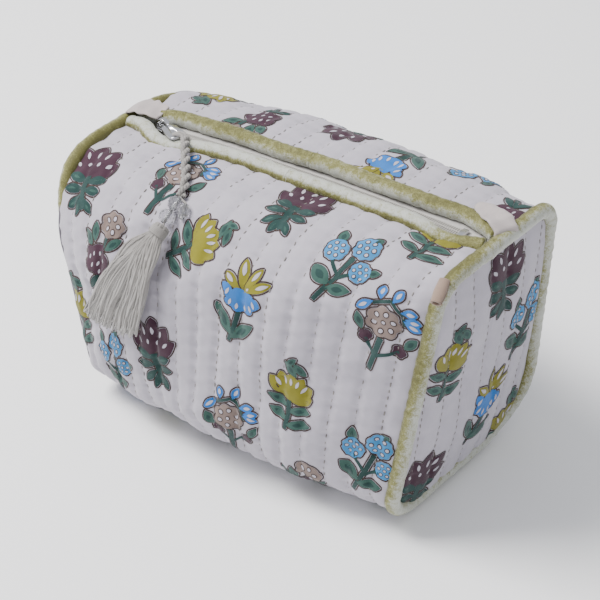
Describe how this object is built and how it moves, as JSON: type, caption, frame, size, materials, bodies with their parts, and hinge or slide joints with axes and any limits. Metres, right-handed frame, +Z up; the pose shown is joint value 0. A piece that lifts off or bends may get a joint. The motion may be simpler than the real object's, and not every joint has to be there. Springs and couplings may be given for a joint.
{
  "type": "quilted makeup bag",
  "caption": "Soft quilted cotton makeup bag with a top zip, velvet piping, and a beaded tassel on the zip pull.",
  "frame": {"origin": "middle of the bag's footprint, on the surface it stands on, tassel left out", "axes": "+X along the zip from its closed end (left) to its open end (right), -Y the front, +Z up"},
  "size_m": [0.243, 0.1744, 0.1606],
  "materials": {
    "printed_cotton": "matt quilted cotton with a hand-block flower print in maroon, green, blue and olive",
    "wadding": "soft matt wadding",
    "lining_cotton": "plain matt cotton",
    "velvet": "crushed olive velvet with a pale sheen",
    "cotton_cord": "matt twisted cotton",
    "zip_tape": "woven matt tape",
    "zip_coil": "matt nylon",
    "nickel": "polished nickel plate",
    "tab_cotton": "matt cotton",
    "tan_cotton": "matt cotton",
    "cord_cotton": "matt twisted cotton",
    "crystal": "clear cut glass",
    "tassel_cotton": "soft cotton threads"
  },
  "bodies": {
    "bag": {"front_panel": "printed_cotton", "front_wadding": "wadding", "front_lining": "lining_cotton", "back_panel": "printed_cotton", "back_wadding": "wadding", "back_lining": "lining_cotton", "end_panel_left": "printed_cotton", "end_panel_right": "printed_cotton", "end_wadding_left": "wadding", "end_wadding_right": "wadding", "end_lining_left": "lining_cotton", "end_lining_right": "lining_cotton", "end_piping_left": "velvet", "end_piping_right": "velvet", "piping_cord_left": "cotton_cord", "piping_cord_right": "cotton_cord", "zip_top_stop_front": "nickel", "zip_top_stop_back": "nickel", "zip_bottom_stop": "nickel", "zip_tab_left": "tab_cotton", "zip_tab_right": "tab_cotton", "side_loop": "tan_cotton"},
    "slider": {"slider_body": "nickel", "slider_bridge": "nickel"},
    "front_flap": {"front_flap_panel": "printed_cotton", "front_flap_wadding": "wadding", "front_flap_lining": "lining_cotton", "zip_welt_front": "velvet", "welt_cord_front": "cotton_cord", "zip_tape_front": "zip_tape", "zip_teeth_front": "zip_coil"},
    "back_flap": {"back_flap_panel": "printed_cotton", "back_flap_wadding": "wadding", "back_flap_lining": "lining_cotton", "zip_welt_back": "velvet", "welt_cord_back": "cotton_cord", "zip_tape_back": "zip_tape", "zip_teeth_back": "zip_coil"},
    "pull": {"pull_tab": "nickel"},
    "cord": {"pull_cord": "cord_cotton", "bead_upper": "crystal", "bead_lower": "crystal", "bead_side": "crystal", "bead_thread": "cord_cotton"},
    "tassel": {"tassel_skirt": "tassel_cotton", "tassel_wrap": "tassel_cotton"}
  },
  "joints": [
    {"name": "zip_slide", "type": "slide", "parent": "bag", "child": "slider", "axis": [0.9948, 0, 0.1016], "range_m": [0, 0.182], "deforming": ["pull_cord"]},
    {"name": "front_flap_open", "type": "hinge", "parent": "bag", "child": "front_flap", "pos_m": [0, -0.034, 0.1435], "axis": [0.9948, 0, 0.1016], "range_deg": [0, 75], "deforming": ["zip_welt_front", "welt_cord_front", "zip_tape_front", "zip_teeth_front"]},
    {"name": "back_flap_open", "type": "hinge", "parent": "bag", "child": "back_flap", "pos_m": [0, 0.034, 0.1435], "axis": [-0.9948, 0, -0.1016], "range_deg": [0, 75], "deforming": ["zip_welt_back", "welt_cord_back", "zip_tape_back", "zip_teeth_back"]},
    {"name": "pull_swing", "type": "hinge", "parent": "slider", "child": "pull", "pos_m": [-0.09465, 0, 0.13326], "axis": [0, -1, 0], "range_deg": [0, 100]},
    {"name": "cord_swing", "type": "hinge", "parent": "pull", "child": "cord", "pos_m": [-0.068, -0.0015, 0.1379], "axis": [-0.843, -0.538, 0], "range_deg": [0, 60]},
    {"name": "tassel_swing", "type": "hinge", "parent": "cord", "child": "tassel", "pos_m": [-0.031, -0.0683, 0.1293], "axis": [-0.9356, 0.0847, 0.3428], "range_deg": [0, 45]}
  ],
  "couplings": [
    {"joint": "front_flap_open", "follows": "zip_slide", "rad_per_m": 7.18},
    {"joint": "back_flap_open", "follows": "zip_slide", "rad_per_m": 7.18}
  ]
}
